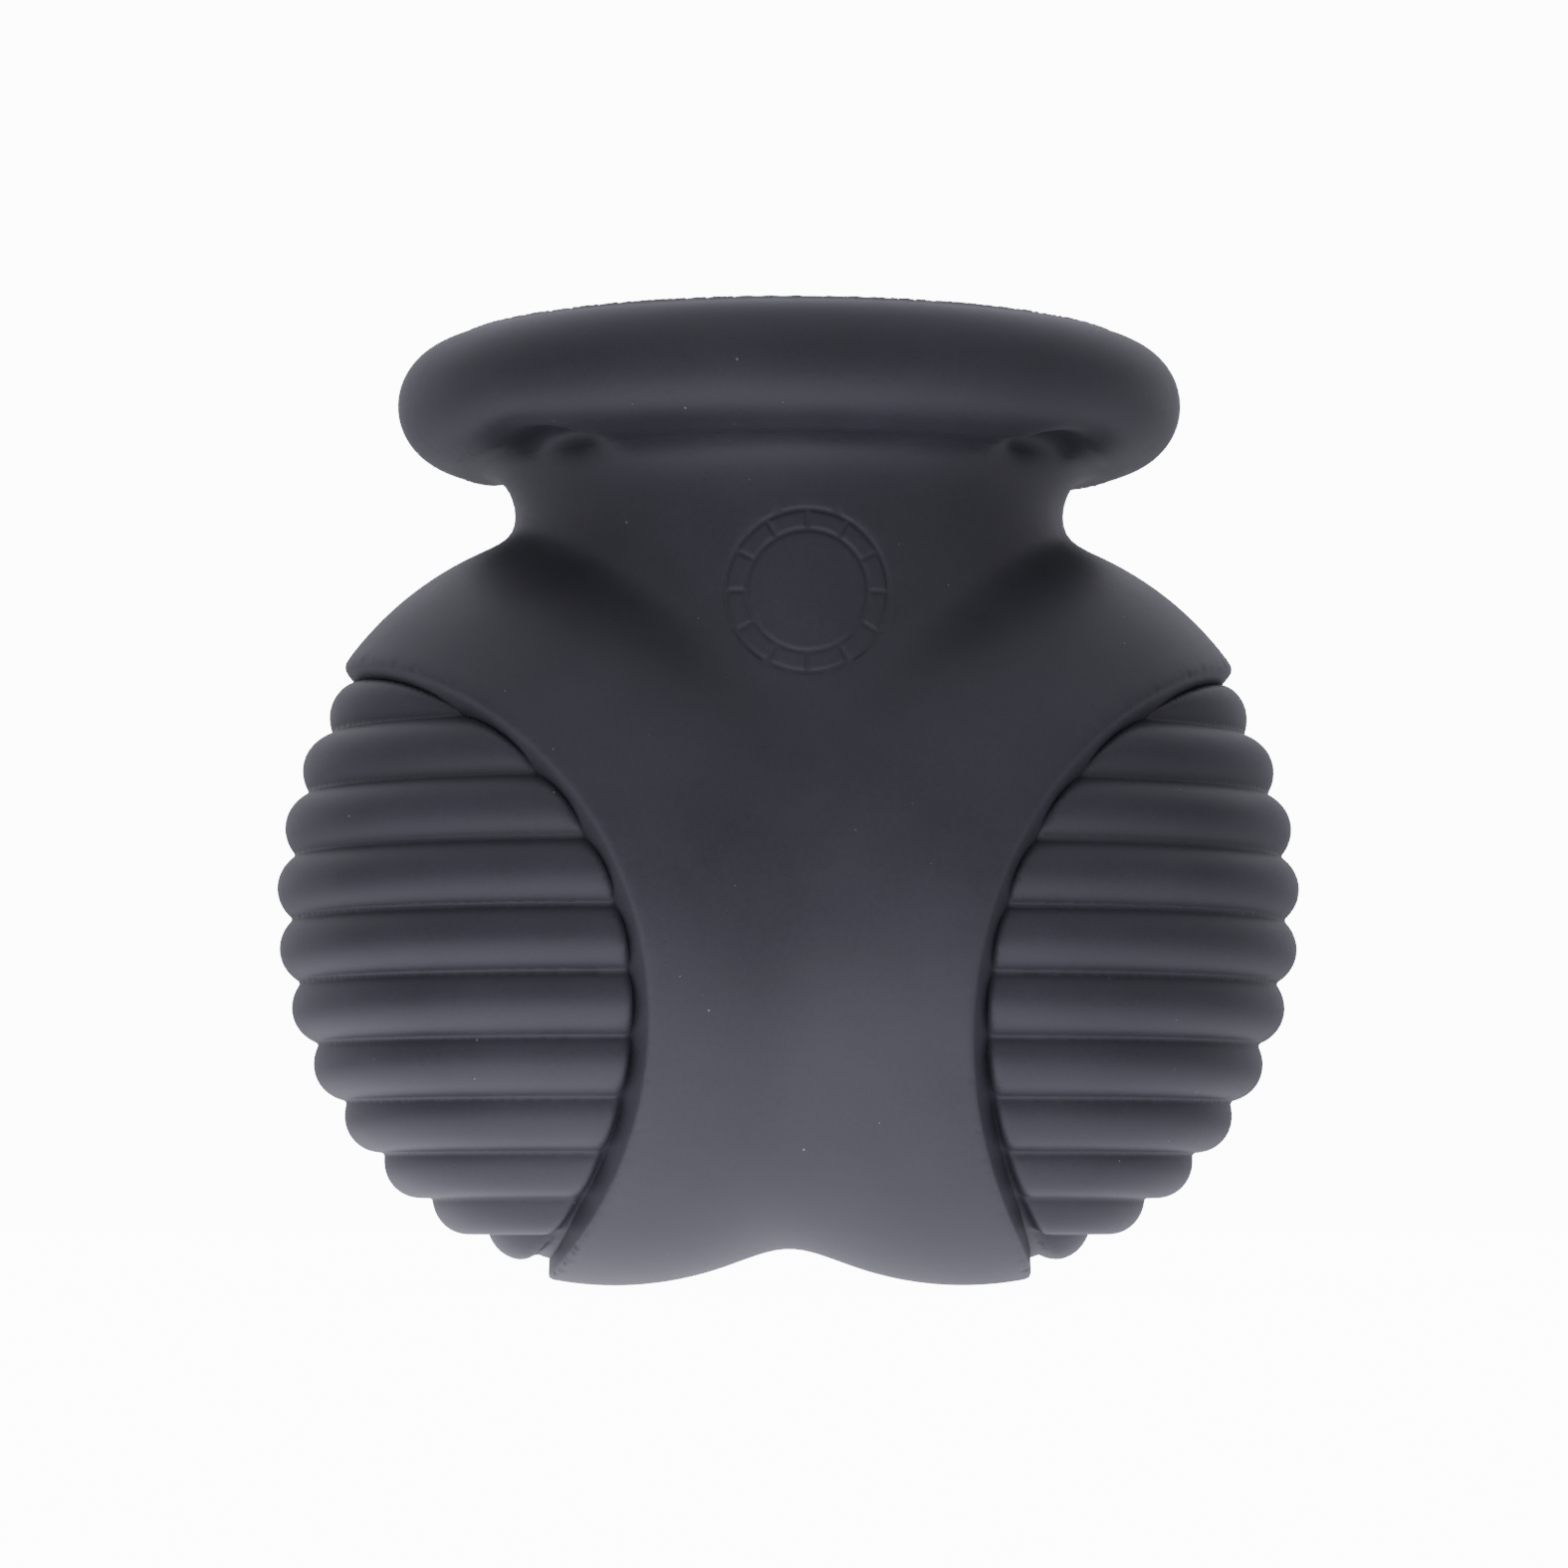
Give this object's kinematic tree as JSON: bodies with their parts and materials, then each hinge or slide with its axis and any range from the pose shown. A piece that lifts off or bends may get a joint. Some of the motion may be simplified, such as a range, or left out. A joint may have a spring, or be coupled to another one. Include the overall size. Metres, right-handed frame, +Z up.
{
  "type": "friction ball",
  "caption": "Hollow two-lobed friction ball in moulded silicone rubber: an open rolled ring on a short neck, a saddle-shaped yoke and a ribbed grip on each flank.",
  "frame": {"origin": "on the floor under the middle of the ball, midway between the feet of the two lobes", "axes": "+Z up through the mouth; +X from the left lobe to the right one; -Y to the front, where the roundel is"},
  "size_m": [0.0676, 0.052, 0.0622],
  "materials": {
    "yoke_rubber": "matte moulded silicone, charcoal black",
    "ring_rubber": "matte moulded silicone, charcoal black",
    "grip_rubber": "matte moulded silicone, charcoal black"
  },
  "bodies": {
    "root": {"yoke": "yoke_rubber", "collar_ring": "ring_rubber", "left_grip": "grip_rubber", "right_grip": "grip_rubber"}
  },
  "joints": []
}
